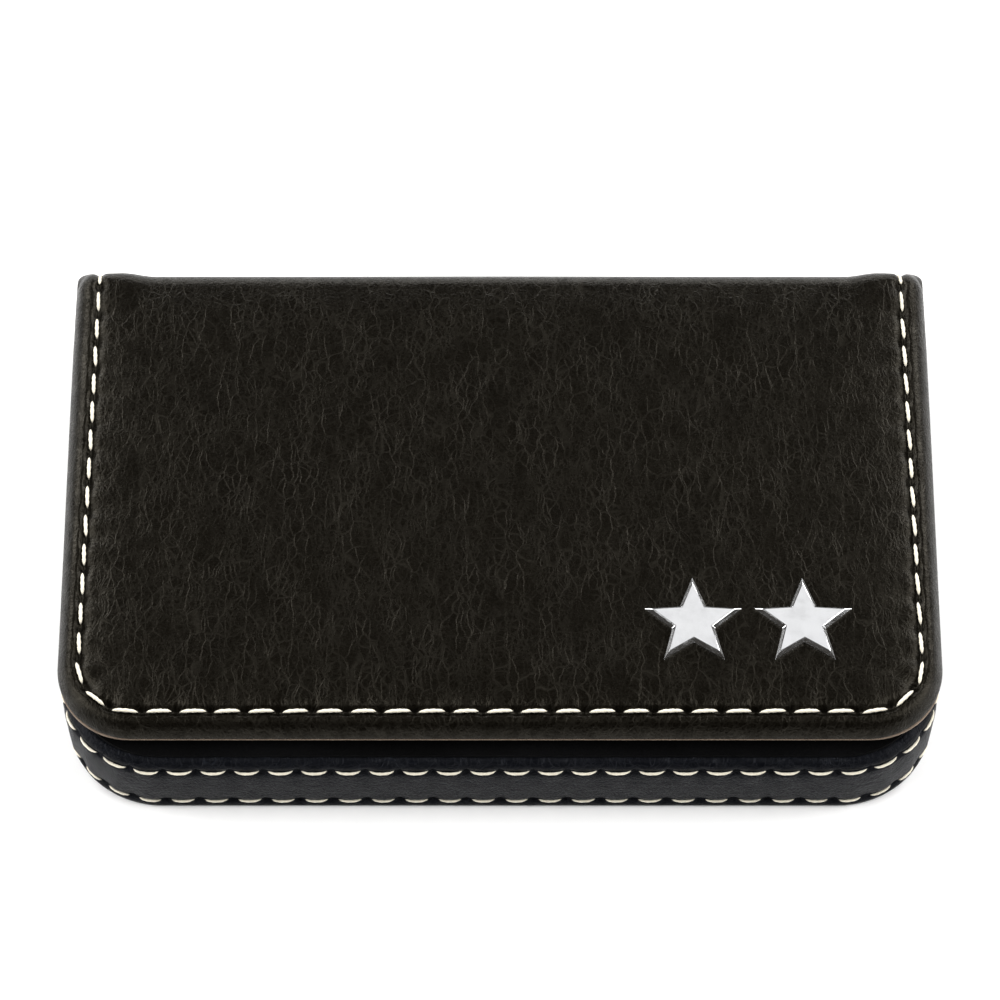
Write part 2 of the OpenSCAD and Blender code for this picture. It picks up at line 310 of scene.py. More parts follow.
# %% The glaze, rubbed on by hand, so it shines unevenly
def rubbed_shine(tree, polish, specular):
    """A specular level that wanders round its value in patches of this size in millimetres.

    The value comes in last, as a plain factor, so an export that drops the patches keeps it.
    """
    rubbed = add_node(tree, "ShaderNodeTexNoise",
                      {"Vector": pattern_place(tree, "skin", polish), "Scale": 1, "Detail": 5,
                       "Roughness": 0.62})
    share = add_node(tree, "ShaderNodeMapRange",
                     {"Value": rubbed.outputs[0], "From Min": 0.3, "From Max": 0.7,
                      "To Min": 0.55, "To Max": 1.45})
    return add_node(tree, "ShaderNodeMath", {0: share.outputs[0], 1: specular},
                    operation="MULTIPLY").outputs[0]


# %% Puckers beside a seam
def pucker_height(tree):
    """Short folds that fan out of the needle holes, on the pad's side of the seam."""
    seam = add_node(tree, "ShaderNodeUVMap", uv_map="seam").outputs["UV"]
    fan = add_node(tree, "ShaderNodeMapping", {"Vector": seam, "Scale": (5.5, 0.7, 0)})
    fold = add_node(tree, "ShaderNodeTexNoise", {"Vector": fan.outputs[0], "Scale": 1,
                                                 "Detail": 2})
    apart = add_node(tree, "ShaderNodeSeparateXYZ", {"Vector": seam})
    from_fold = add_node(tree, "ShaderNodeMath", {0: apart.outputs["Y"], 1: 0.7},
                         operation="SUBTRACT")
    from_fold = add_node(tree, "ShaderNodeMath", {0: from_fold.outputs[0]},
                         operation="ABSOLUTE")
    fade = add_node(tree, "ShaderNodeMapRange",
                    {"Value": from_fold.outputs[0], "From Min": 0.2, "From Max": 1.7,
                     "To Min": 3.0, "To Max": 0}, interpolation_type="SMOOTHSTEP")
    return add_node(tree, "ShaderNodeMath", {0: fold.outputs[0], 1: fade.outputs[0]},
                    operation="MULTIPLY").outputs[0]


# %% Creased leather
def leather_material(name, hex_colour, tone_hex, crease_highlight_hex, roughness, specular, tint, bump,
                     creases, polish, puckered=False):
    """Dyed leather. creases has three nets: cell width, length, line, strength and patch."""
    material, tree, shader = new_material(name, hex_colour, Roughness=roughness, IOR=1.45,
                                          Specular_IOR_Level=specular,
                                          Specular_Tint=linear(tint))
    place = pattern_place(tree, "skin", (1, 1, 1))
    tree.links.new(rubbed_shine(tree, polish, specular), shader.inputs["Specular IOR Level"])
    bend = add_node(tree, "ShaderNodeTexNoise", {"Vector": place, "Scale": 0.45, "Detail": 2})
    bend = add_node(tree, "ShaderNodeMapping", {"Vector": bend.outputs["Color"],
                                                "Scale": (1.4, 1.8, 0)})
    bent = add_node(tree, "ShaderNodeVectorMath", {0: bend.outputs[0], 1: place}, operation="ADD")
    nets = [crease_net(tree, bent.outputs[0], number, *net) for number, net in enumerate(creases)]
    crease = add_node(tree, "ShaderNodeMath", {0: nets[0], 1: nets[1]}, operation="MAXIMUM")
    crease = add_node(tree, "ShaderNodeMath", {0: crease.outputs[0], 1: nets[2]},
                      operation="MAXIMUM")
    cloud = add_node(tree, "ShaderNodeTexNoise", {"Vector": place, "Scale": 0.12, "Detail": 5})
    tone = add_node(tree, "ShaderNodeMix", {"Factor": cloud.outputs[0], 6: linear(hex_colour),
                                            7: linear(tone_hex)}, data_type="RGBA")
    # Where the nets lie, the colour turns lighter: a painted highlight for the light that the
    # creases and pebble marks catch. The same nets also give their real relief below.
    colour = add_node(tree, "ShaderNodeMix",
                      {"Factor": crease.outputs[0], 6: tone.outputs[2],
                       7: linear(crease_highlight_hex)}, data_type="RGBA")
    tree.links.new(colour.outputs[2], shader.inputs["Base Color"])
    grain = add_node(tree, "ShaderNodeTexNoise", {"Vector": place, "Scale": 3.2, "Detail": 6,
                                                  "Roughness": 0.6})
    pores = add_node(tree, "ShaderNodeTexVoronoi", {"Vector": place, "Scale": 2.6})
    rough = add_node(tree, "ShaderNodeMapRange",
                     {"Value": grain.outputs[0], "From Min": 0.3, "From Max": 0.7,
                      "To Min": roughness - 0.07, "To Max": roughness + 0.1})
    tree.links.new(rough.outputs[0], shader.inputs["Roughness"])
    low = add_node(tree, "ShaderNodeMath", {0: crease.outputs[0], 1: -0.8, 2: grain.outputs[0]},
                   operation="MULTIPLY_ADD")
    low = add_node(tree, "ShaderNodeMath", {0: pores.outputs["Distance"], 1: 0.5,
                                            2: low.outputs[0]}, operation="MULTIPLY_ADD")
    if puckered:
        low = add_node(tree, "ShaderNodeMath", {0: low.outputs[0], 1: pucker_height(tree)},
                       operation="ADD")
    relief = add_node(tree, "ShaderNodeBump", {"Height": low.outputs[0], "Strength": bump,
                                               "Distance": 0.00012})
    tree.links.new(relief.outputs[0], shader.inputs["Normal"])
    return material


# %% Cover leather
# creases: cell width and length and line width in millimetres, strength, and patch size in cells
cover_leather = leather_material("corrected_grain_cowhide_black", "#040302", "#0a0805", "#1e1c18",
                                 0.27, 0.15, "#fff4dc", 0.38,
                                 [(1.0, 2.1, 0.08, 0.6, 3.0), (1.6, 3.4, 0.08, 0.65, 2.2),
                                  (0.6, 1.0, 0.08, 0.35, 6.0)], (1.3, 2.4, 1), puckered=True)

# %% [markdown]
# ### Leather for the wall
# A thinner, smoother calf bends round the corners. It is glazed, so it shines more, and a pressed
# pebble shows as short marks lying along the wall: raised a little, and painted lighter as a
# painted highlight for the shine they catch.

# %% Glazed wall leather
# The third colour is the painted highlight on the pebble marks and creases.
band_leather = leather_material("glazed_calf_black", "#040508", "#07080c", "#121419", 0.36,
                                0.09, "#f1f4ff", 0.8,
                                [(2.2, 0.7, 0.08, 1.0, 2.0), (1.2, 0.4, 0.05, 0.8, 3.0),
                                 (0.7, 0.7, 0.04, 0.5, 4.0)], (2.4, 0.6, 1))

# %% [markdown]
# ### Thread
# Cream polyester thread of two plies, waxed. It has a soft sheen and the turns between its plies
# hold a little shadow, which the shape of the stitch gives.

# %% Thread
thread, tree, shader = new_material("waxed_polyester_thread", "#efe7d3", Roughness=0.55, IOR=1.5,
                                    Sheen_Weight=0.3, Sheen_Roughness=0.4)
place = pattern_place(tree, "object", (MM, MM, MM))
fibre = add_node(tree, "ShaderNodeTexNoise", {"Vector": place, "Scale": 6.0, "Detail": 3})
tint = add_node(tree, "ShaderNodeMix", {"Factor": fibre.outputs[0], 6: linear("#f3eddd"),
                                        7: linear("#cfc6b0")}, data_type="RGBA")
tree.links.new(tint.outputs[2], shader.inputs["Base Color"])
relief = add_node(tree, "ShaderNodeBump", {"Height": fibre.outputs[0], "Strength": 0.4,
                                           "Distance": 0.00005})
tree.links.new(relief.outputs[0], shader.inputs["Normal"])

# %% [markdown]
# ### The lining's raw edge, cloth, flock and the stiff parts
# The lid is lined with an undyed split, so its cut edge is tan and slightly burnt by the knife.
# The tray is flocked: short fibres stood on end by static, which look almost like velvet.

# %% Tan split leather
split_leather, tree, shader = new_material("undyed_split_leather", "#a88560", Roughness=0.7,
                                           IOR=1.45)
place = pattern_place(tree, "object", (MM, MM, MM))
fibre = add_node(tree, "ShaderNodeTexNoise", {"Vector": place, "Scale": 0.8, "Detail": 6})
tint = add_node(tree, "ShaderNodeMix", {"Factor": fibre.outputs[0], 6: linear("#54463a"),
                                        7: linear("#857361")}, data_type="RGBA")
tree.links.new(tint.outputs[2], shader.inputs["Base Color"])
relief = add_node(tree, "ShaderNodeBump", {"Height": fibre.outputs[0], "Strength": 0.3,
                                           "Distance": 0.0001})
tree.links.new(relief.outputs[0], shader.inputs["Normal"])


# %% Cloth and flock
def napped_material(name, hex_colour, light_hex, nap, sheen):
    """A short pile: a dark body, a mottled tone where the pile leans, and a bright rim."""
    material, tree, shader = new_material(name, hex_colour, Roughness=0.9, IOR=1.45,
                                          Sheen_Weight=sheen, Sheen_Roughness=0.35,
                                          Specular_IOR_Level=0.05)
    place = pattern_place(tree, "object", (MM, MM, MM))
    pile = add_node(tree, "ShaderNodeTexNoise", {"Vector": place, "Scale": nap, "Detail": 4,
                                                 "Roughness": 0.75})
    lean = add_node(tree, "ShaderNodeTexNoise", {"Vector": place, "Scale": 0.12, "Detail": 3})
    mixed = add_node(tree, "ShaderNodeMath", {0: pile.outputs[0], 1: lean.outputs[0]},
                     operation="MULTIPLY")
    spread = add_node(tree, "ShaderNodeMapRange",
                      {"Value": mixed.outputs[0], "From Min": 0.12, "From Max": 0.4})
    tint = add_node(tree, "ShaderNodeMix", {"Factor": spread.outputs[0], 6: linear(hex_colour),
                                            7: linear(light_hex)}, data_type="RGBA")
    tree.links.new(tint.outputs[2], shader.inputs["Base Color"])
    relief = add_node(tree, "ShaderNodeBump", {"Height": pile.outputs[0], "Strength": 0.7,
                                               "Distance": 0.0002})
    tree.links.new(relief.outputs[0], shader.inputs["Normal"])
    return material


flock = napped_material("flocked_moulded_tray", "#030303", "#0b0b0c", 3.5, 0.01)
lining_cloth = napped_material("black_suedette_lining", "#030303", "#0b0b0c", 2.5, 0.01)


# %% Boards, frame and metal
def flecked_material(name, hex_colour, fleck_hex, scale, roughness, **settings):
    """A plain stock with flecks of a second colour and a matching faint relief."""
    material, tree, shader = new_material(name, hex_colour, Roughness=roughness, **settings)
    place = pattern_place(tree, "object", (MM, MM, MM))
    speck = add_node(tree, "ShaderNodeTexNoise", {"Vector": place, "Scale": scale, "Detail": 5})
    tint = add_node(tree, "ShaderNodeMix", {"Factor": speck.outputs[0], 6: linear(hex_colour),
                                            7: linear(fleck_hex)}, data_type="RGBA")
    tree.links.new(tint.outputs[2], shader.inputs["Base Color"])
    relief = add_node(tree, "ShaderNodeBump", {"Height": speck.outputs[0], "Strength": 0.25,
                                               "Distance": 0.00008})
    tree.links.new(relief.outputs[0], shader.inputs["Normal"])
    return material


greyboard = flecked_material("bookbinders_greyboard", "#8b857b", "#716b62", 2.0, 0.9)
frame_plastic = flecked_material("moulded_polystyrene_frame", "#1b1b1d", "#232326", 1.0, 0.5,
                                 IOR=1.59)
magnet_steel = flecked_material("nickel_plated_steel", "#b9b6ae", "#a5a29b", 0.6, 0.28,
                                Metallic=1.0)

# %% [markdown]
# ### Chrome
# The emblems are die cast, polished and chrome plated. The flats stay almost a mirror, with the
# faint haze of fine polishing, and reflect whatever pale thing stands behind the case.

# %% Chrome
chrome, tree, shader = new_material("chrome_plated_zinc", "#e6e7e9", Metallic=1.0,
                                    Roughness=0.12)
place = pattern_place(tree, "object", (MM, MM, MM))
haze = add_node(tree, "ShaderNodeTexNoise", {"Vector": place, "Scale": 0.5, "Detail": 5})
rough = add_node(tree, "ShaderNodeMapRange", {"Value": haze.outputs[0], "From Min": 0.3,
                                              "From Max": 0.7, "To Min": 0.07, "To Max": 0.2})
tree.links.new(rough.outputs[0], shader.inputs["Roughness"])
relief = add_node(tree, "ShaderNodeBump", {"Height": haze.outputs[0], "Strength": 0.05,
                                           "Distance": 0.0002})
tree.links.new(relief.outputs[0], shader.inputs["Normal"])

# %% [markdown]
# ## The seams' lines
# A seam is laid out as a saddler does it: walk the line with a pricking iron, so that the holes
# are evenly spaced and symmetric about the middle of the front. The lid's seam starts at the top
# of the back roll, runs to the front, round both corners and back again. Before its start it
# goes over the roll and down the spine.

# %% Seam lines
SEAM_R = LID_R - SEAM_INSET
SIDE_RUN = LID_BACK - LID_FRONT - LID_R
LID_SEAM = 2 * SIDE_RUN + math.pi * SEAM_R + 2 * (LID_HALF_W - LID_R)
LID_STITCHES = 53
LID_PITCH = LID_SEAM / LID_STITCHES
ROLL_ARC = UPPER_R * math.pi / 2
SPINE_RUN = ROLL_ARC + LID_TOP - UPPER_R - LOWER_R

WALL_SIDE_RUN = BASE_BACK - WALL_BACK_R - BASE_FRONT - WALL_R
WALL_SEAM = 2 * WALL_SIDE_RUN + math.pi * WALL_R + 2 * (BASE_HALF_W - WALL_R)
WALL_STITCHES = 54
WALL_PITCH = WALL_SEAM / WALL_STITCHES


def seam_frame(s, half_w, front, back, r, inset):
    """The place and heading on a U-shaped seam after a run s from the back of the left side."""
    side = back - front - r
    arc = (r - inset) * math.pi / 2
    across = 2 * (half_w - r)
    if s < side:
        return (-half_w + inset, back - s), -90
    s -= side
    if s < arc:
        turn = s / (r - inset)
        return (-half_w + r - (r - inset) * math.cos(turn),
                front + r - (r - inset) * math.sin(turn)), math.degrees(turn) - 90
    s -= arc
    if s < across:
        return (-half_w + r + s, front + inset), 0
    s -= across
    if s < arc:
        turn = s / (r - inset)
        return (half_w - r + (r - inset) * math.sin(turn),
                front + r - (r - inset) * math.cos(turn)), math.degrees(turn)
    return (half_w - inset, front + r + s - arc), 90


print("lid seam", round(LID_SEAM, 1), "mm, pitch", round(LID_PITCH, 2),
      "; wall seam", round(WALL_SEAM, 1), "mm, pitch", round(WALL_PITCH, 2))

# %% [markdown]
# ## The skins
# The lid and the spine are one piece of leather over a foam pad, pulled down at the seam and
# turned under at the rim. A flat grid is the start: each of its rows and columns is moved on to
# the skin's own section, so the seam and the rim run along clean rows of faces, and in
# the corners the rows become true arcs. The base's skin is made the same way, and the two meet
# halfway up the spine.

# %% The section of a skin's edge
RIM_DROP = 0.5          # how far the lid's rim lies below the pad's top
GROOVE = 0.34           # how deep the thread pulls the lid's seam down
FLAT_INSETS = np.concatenate([np.linspace(2.12, 3.4, 12), np.linspace(3.6, 5.4, 8),
                              np.linspace(5.85, 11, 12)])


def flat_height(inset, drop, groove):
    """How high a skin lies at a distance inside its edge: the rim, the seam and the pad."""
    pad = 1 - np.exp(-np.clip(inset - SEAM_INSET - 0.1, 0, None) / 1.5)
    return drop * (pad - 1) - groove * hump(inset - SEAM_INSET, 0.42)


def edge_section(depth, bottom_r, top_r, top_h, lean, drop, groove):
    """From the tucked edge, round the rim and in over the top: insets, heights and run.

    lean, in radians, keeps the rim's face from standing upright, as soft leather's doesn't.
    """
    inset = [2.6, 1.8, 1.1]
    height = [-depth] * 3
    for turn in np.linspace(0, math.pi / 2, 5):
        inset.append(bottom_r * (1 - math.sin(turn)))
        height.append(-depth + bottom_r * (1 - math.cos(turn)))
    round_h = top_h / (1 - math.sin(lean))
    for share in (1 / 3, 2 / 3):
        inset.append(0)
        height.append((-depth + bottom_r) * (1 - share)
                      + (-drop - top_h) * share)
    for turn in np.linspace(lean, math.pi / 2, 10):
        inset.append(top_r * (1 - math.cos(turn) / math.cos(lean)))
        height.append(-drop - round_h * (1 - math.sin(turn)))
    rim = len(inset)
    inset = np.concatenate([inset, FLAT_INSETS])
    height = np.concatenate([height, flat_height(FLAT_INSETS, drop, groove)])
    run = np.concatenate([[0], np.cumsum(np.hypot(np.diff(inset), np.diff(height)))])
    return inset, height, run, rim


print("a skin's edge has", len(FLAT_INSETS), "steps on its flat")

# %% [markdown]
# ### Gathers
# A thread pulled tight draws the leather down at every needle hole and lets it rise between them.
# Each pull has its own size, drawn at random once, since no two are sewn with quite the same hand.

# %% Gathers along a seam
rng = np.random.default_rng(12)
gather_size = rng.uniform(0.65, 1.35, 400)
gather_turn = rng.uniform(0, 2 * math.pi, 400)


def gathers(run, off, pitch, key=0):
    """Height added by a seam's holes and pulls. off is the distance from the seam line."""
    count = np.floor(run / pitch + 0.5).astype(int) + key
    size = gather_size[count % 400]
    wave = np.cos(2 * math.pi * run / pitch)
    to_hole = pitch * np.abs((run / pitch + 0.5) % 1 - 0.5)
    hole = -0.42 * hump(to_hole, 0.42) * hump(off, 0.5)
    inside = np.where(off > 0, np.exp(-off / 1.5), 0.4 * np.exp(off / 0.7))
    pull = -0.19 * size * wave * inside * (1 - hump(off, 0.3))
    fine = 0.05 * np.cos(6 * math.pi * run / pitch + gather_turn[count % 400])
    return hole + pull + fine * np.where(off > 0, np.exp(-off / 0.9), 0)


# %% [markdown]
# ### The grid
# Rows and columns lie close together over the rim and the seam, where the shape turns quickly, and
# wider apart on the flat. Each vertex knows its column and its row, so its place follows from them.

# %% The grid's columns, across a skin
INNER_STEP = 0.47


def skin_columns(edges):
    """Each column's inset and height on every edge section, and its run from the side."""
    inset, run = edges[0][0], edges[0][2]
    last = FLAT_INSETS[-1]
    count = len(np.arange(last + INNER_STEP, LID_HALF_W, INNER_STEP))
    middle = last + (LID_HALF_W - last) * np.arange(1, count + 1) / (count + 1)

    def both_sides(values, mid):
        return np.concatenate([values, mid, mid[::-1], values[::-1]])

    col_in = np.array([both_sides(section[0], middle) for section in edges])
    col_h = np.array([both_sides(section[1], np.zeros(count)) for section in edges])
    return col_in, col_h, both_sides(run, run[-1] + middle - inset[-1])


# %% The grid's rows, from the front edge, round the fold and along the spine
def skin_rows(edge, depth, arc, upright, row_step):
    """Each row's inset, height, run, and how far past the fold's start it lies."""
    inset, height, run, rim = edge
    flat = np.arange(FLAT_INSETS[-1] + row_step, depth, row_step)
    past = np.concatenate([np.linspace(0, arc, 13), np.arange(arc + 0.5, arc + upright - 0.2, 0.5),
                           [arc + upright]])
    row_in = np.concatenate([inset, flat, depth + past])
    row_run = np.concatenate([run, run[-1] + row_in[len(inset):] - inset[-1]])
    row_h = np.concatenate([height, np.zeros(len(flat) + len(past))])
    beyond = np.concatenate([np.zeros(len(inset) + len(flat)), past])
    return row_in, row_h, row_run, beyond


# %% A front corner
def round_corner(left_i, left_j):
    """Square rings of rows and columns become quarter circles: who is in one, and its angle."""
    corner = (left_i > 0) & (left_j > 0)
    share = np.where(left_i >= left_j, left_j / np.maximum(left_i, 1e-9),
                     2 - left_i / np.maximum(left_j, 1e-9))
    return corner, np.where(corner, share * math.pi / 4, 0)


# %% Lay a grid over a skin
def lay_skin(half_w, front, corner_r, flat_z, up, back, fold_r, edges, row_step, relief):
    """A grid moved on to a skin: flat from front to back, round a fold, then along the spine.

    up is 1 for the lid's skin, which faces up, and -1 for the base's, which faces down. edges
    are the edge's sections on the flat, on the fold and on the spine. relief adds height from
    the seam run, the distance inside the edge and how far round the fold a point is.
    """
    inset, _, run, rim = edges[0]
    arc = fold_r * math.pi / 2
    col_in, col_h, col_run = skin_columns(edges)
    row_in, row_h, row_run, beyond = skin_rows(edges[0], back - front, arc,
                                               abs(flat_z - up * fold_r - SPINE_JOIN), row_step)
    columns = len(col_run)
    side = np.repeat([-1, 1], columns // 2)
    turn = np.clip(beyond / fold_r, 0, math.pi / 2)
    row_y = np.where(beyond > 0, back + fold_r * np.sin(turn), front + row_in)
    row_z = flat_z - up * (fold_r * (1 - np.cos(turn)) + np.maximum(beyond - arc, 0))
    normal_y = np.sin(turn)
    normal_z = up * np.cos(turn)
    on_fold = smoothstep((row_y - back + 6) / 6.5)
    folded = smoothstep((turn / (math.pi / 2) - 0.55) / 0.45)

    bpy.ops.mesh.primitive_grid_add(x_subdivisions=columns - 1, y_subdivisions=len(row_in) - 1,
                                    size=2)
    piece = bpy.context.active_object
    unit = points_of(piece) * MM
    i = np.rint((unit[:, 0] + 1) / 2 * (columns - 1)).astype(int)
    j = np.rint((unit[:, 1] + 1) / 2 * (len(row_in) - 1)).astype(int)

    # the edge's section changes from the flat's to the fold's and then to the spine's
    fold_share = folded[j]
    shares = np.array([1 - on_fold[j], on_fold[j] * (1 - fold_share), fold_share * on_fold[j]])
    inset_i = (col_in[:, i] * shares).sum(0)
    height_i = (col_h[:, i] * shares).sum(0)
    by_side = col_run[i] <= row_run[j]
    off_edge = np.where(by_side, inset_i, row_in[j])
    h = np.where(by_side, height_i, row_h[j])

    # the rim alone is trimmed in or out, so that the seam stays where the thread is
    half = half_w + (SPINE_HALF_W - half_w) * smoothstep((row_y[j] - front) / (back - front))
    at_rim = 1 - smoothstep(off_edge / 2.2)
    widen = (half - LID_HALF_W) * at_rim
    x = LID_HALF_W - inset_i + widen
    y = row_y[j] + FRONT_TRIM * at_rim * (~by_side & (beyond[j] == 0))
    corner_run = np.interp(corner_r, inset[rim:], run[rim:])
    corner, angle = round_corner(corner_run - col_run[i], corner_run - row_run[j])
    radius = corner_r - off_edge
    x = np.where(corner, LID_HALF_W - corner_r + (radius + widen) * np.cos(angle), x)
    y = np.where(corner, front + corner_r - (radius - FRONT_TRIM * at_rim) * np.sin(angle), y)

    # how far along the seam each point is, for the gathers and the puckers
    seam_run = np.where(by_side, LID_BACK - y,
                        SIDE_RUN + SEAM_R * math.pi / 2 + LID_HALF_W - corner_r - x)
    seam_run = np.where(corner, SIDE_RUN + angle * SEAM_R, seam_run)
    drop_below = np.where(row_z[j] > LID_TOP - UPPER_R, 0, LID_TOP - UPPER_R - row_z[j])
    around = np.where(up > 0, np.minimum(beyond[j], arc), ROLL_ARC)
    seam_run = np.where(beyond[j] > 0, -(around + drop_below), seam_run)
    on_top = smoothstep((off_edge - 0.9) / 0.6) * ((col_run[i] > run[rim - 1]) &
                                                    (row_run[j] > run[rim - 1]))
    pulls, shape = relief(seam_run, off_edge, fold_share, x * side[i], y, side[i])
    h = h + on_top * pulls + smoothstep((h + 2.2) / 1.6) * shape
    points = np.stack([x * side[i], y + normal_y[j] * h, row_z[j] + normal_z[j] * h], axis=1)
    move_points(piece, points)

    # a UV map in millimetres along the skin, the base's on from the lid's at the spine
    skin_u = side[i] * (col_run.max() - col_run[i] + INNER_STEP / 2)
    skin_v = row_run[j] if up > 0 else 2 * row_run.max() + 60 - row_run[j]
    write_map(piece, "skin", skin_u, skin_v)
    full_run = np.where(side[i] > 0, LID_SEAM - seam_run, seam_run)
    write_map(piece, "seam", full_run / LID_PITCH, off_edge - SEAM_INSET)
    if up < 0:
        edit(piece)
        bpy.ops.mesh.select_all(action="SELECT")
        bpy.ops.mesh.flip_normals()
        start_fresh()
    return piece


# %% [markdown]
# ## The pad
# Over the foam, the leather swells between its seams and lies a little unevenly. A small sheet of
# cloth finds that shape: it is held all round, where the seam is, and air pressure from below
# stands for the foam. It is simulated with a centimetre to a unit, because the solver is steadier
# at that size. Foam gives way gently, so the swell is then held under a quarter of a millimetre.

# %% The sheet over the foam
PAD_COLUMNS, PAD_ROWS = 76, 46
PAD_HALF = LID_HALF_W - SEAM_INSET
PAD_DEPTH = LID_BACK - LID_FRONT - SEAM_INSET
PAD_SWELL = 0.24


def settle_pad():
    """Heights in millimetres over the pad, on a grid from front to back and left to right."""
    bpy.ops.mesh.primitive_grid_add(x_subdivisions=PAD_COLUMNS - 1, y_subdivisions=PAD_ROWS - 1,
                                    size=2)
    sheet = bpy.context.active_object
    unit = points_of(sheet) * MM
    sheet.data.vertices.foreach_set("co", (unit * (PAD_HALF / 10, PAD_DEPTH / 20, 1)).ravel())
    seam = sheet.vertex_groups.new(name="seam")
    held = np.flatnonzero(np.abs(unit[:, :2]).max(axis=1) > 0.999)
    seam.add([int(v) for v in held], 1, "REPLACE")
    cloth = sheet.modifiers.new("settle", "CLOTH")
    cloth.settings.quality = 5
    cloth.settings.mass = 0.3
    cloth.settings.vertex_group_mass = "seam"
    cloth.settings.use_pressure = True
    cloth.settings.uniform_pressure_force = 1.5
    cloth.settings.shrink_min = -0.012
    cloth.settings.effector_weights.gravity = 0
    cloth.point_cache.frame_start = 1
    cloth.point_cache.frame_end = 20
    for step in range(1, 21):
        bpy.context.scene.frame_set(step)
    bpy.ops.object.modifier_apply(modifier=cloth.name)
    z = points_of(sheet)[:, 2] * MM * 10
    bpy.context.scene.frame_set(1)
    bpy.data.objects.remove(sheet)
    order = np.lexsort((unit[:, 0], unit[:, 1]))
    heights = z[order].reshape(PAD_ROWS, PAD_COLUMNS)
    print("the sheet swelled", heights.min().round(3), "to", heights.max().round(3), "mm")
    return PAD_SWELL * np.tanh(heights / max(heights.max(), 1e-6) * 2.2)


pad_heights = settle_pad()
print("the pad rises", pad_heights.max().round(3), "mm")


# %% Read the settled heights
def pad_height(x, y):
    """The pad's height at a place, straight between the sheet's own points."""
    i = np.clip((x + PAD_HALF) / (2 * PAD_HALF) * (PAD_COLUMNS - 1), 0, PAD_COLUMNS - 1.001)
    j = np.clip((y - LID_FRONT - SEAM_INSET) / PAD_DEPTH * (PAD_ROWS - 1), 0, PAD_ROWS - 1.001)
    i0, j0 = i.astype(int), j.astype(int)
    i, j = i - i0, j - j0
    front = pad_heights[j0, i0] * (1 - i) + pad_heights[j0, i0 + 1] * i
    back = pad_heights[j0 + 1, i0] * (1 - i) + pad_heights[j0 + 1, i0 + 1] * i
    return front * (1 - j) + back * j


# %% [markdown]
# ## Leather for the lid and the spine
# The rim is deep and full beside the lid, lower over the roll, and thin down the spine, so the skin
# has three edge sections and changes smoothly from one to the next.

# %% The lid's edges
rim_depth = LID_TOP - LID_UNDER
lid_edge = edge_section(rim_depth, 0.16, 2.0, rim_depth - 0.74, 0.6, RIM_DROP, GROOVE)
roll_edge = edge_section(rim_depth, 0.16, 1.9, rim_depth - 0.42, 0.4, 0.15, GROOVE)
spine_edge = edge_section(SPINE_T - 0.05, 0.4, 0.6, 0.6, 0.0, 0.12, 0.3)
print("the lid's rim is", round(rim_depth, 2), "mm deep")


# %% The lid's skin
def lid_relief(run, inset, fold, x, y, side):
    """Gathers at the seam, a crowned pad, and the puffing of the skin over the back roll."""
    key = np.where(side > 0, 150, 0)
    pulls = gathers(run, inset - SEAM_INSET, LID_PITCH, key) * (1 - 0.35 * fold)
    crown = pad_height(x, y) * (1 - fold)
    over_roll = hump(y - LID_BACK - 1.5, 3.4) * (1 - smoothstep((-run - 3) / 4))
    beside_seam = 1 - smoothstep((inset - 5.2) / 3.8)
    puff = over_roll * (0.5 * beside_seam + 0.04 * hump(x, 14) - 0.42)
    return pulls, crown + puff


lid_skin = lay_skin(LID_HALF_W - SIDE_TRIM, LID_FRONT, LID_R, LID_TOP, 1, LID_BACK, UPPER_R,
                    [lid_edge, roll_edge, spine_edge], 0.5, lid_relief)
finish_piece(lid_skin, "lid_leather", cover_leather)
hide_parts("lid_cover", "spine_cover", "lid_pad")

# %% [markdown]
# ## Leather for the base
# The underside is flat, so that the case stands well, with a small turned-in edge under the wall.

# %% The base's skin
base_edge = edge_section(0.5, 0.12, 0.2, 0.2, 0.0, 0.0, 0.0)


def base_relief(run, inset, fold, x, y, side):
    """Only the spine's seam shows on this skin; the underside is flat."""
    key = np.where(side > 0, 150, 0)
    return gathers(run, inset - SEAM_INSET, LID_PITCH, key) * 0.65 * smoothstep(fold * 2 - 1), 0


base_skin = lay_skin(BASE_HALF_W - 0.5, BASE_FRONT + 0.5, WALL_R - 0.5, 0.0, -1, FLOOR_BACK,
                     LOWER_R, [base_edge, base_edge, spine_edge], 1.0, base_relief)
finish_piece(base_skin, "base_leather", cover_leather)
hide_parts("base_cover")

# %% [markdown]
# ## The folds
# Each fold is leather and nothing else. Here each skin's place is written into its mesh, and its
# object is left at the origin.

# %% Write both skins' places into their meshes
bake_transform(lid_skin)
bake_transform(base_skin)

# %% [markdown]
# ## The wall
# The wall's leather is a strip glued round a hoop, turned in over its top and under its bottom
# edge, and sewn in two rows. Its section is drawn point by point, then swept: extruded along the
# straight sides and spun round the corners, in steps fine enough to carry the gathers.

# %% The wall's section
EDGE_R = 1.3
TURN_IN = 1.8


def wall_section():
    """Insets and heights from the lip inside the top, over the edge and down to the turn-under."""
    points = [(TURN_IN, BAND_TOP), (TURN_IN - 0.25, BAND_TOP)]
    for turn in np.linspace(0, math.pi / 2, 8):
        points.append((EDGE_R * (1 - math.sin(turn)), BAND_TOP - EDGE_R * (1 - math.cos(turn))))
    near_seam = list(np.arange(BAND_TOP - EDGE_R - 0.18, UPPER_SEAM - 1.2, -0.18))
    between = list(np.linspace(near_seam[-1] - 0.35, LOWER_SEAM + 1.1, 12))
    low = list(np.arange(LOWER_SEAM + 0.9, 0.55, -0.18))
    points += [(0.0, z) for z in near_seam + between + low]
    points += [(0.04, 0.4), (0.14, 0.22), (0.32, 0.12), (0.7, 0.1), (1.3, 0.3)]
    return points


section = wall_section()

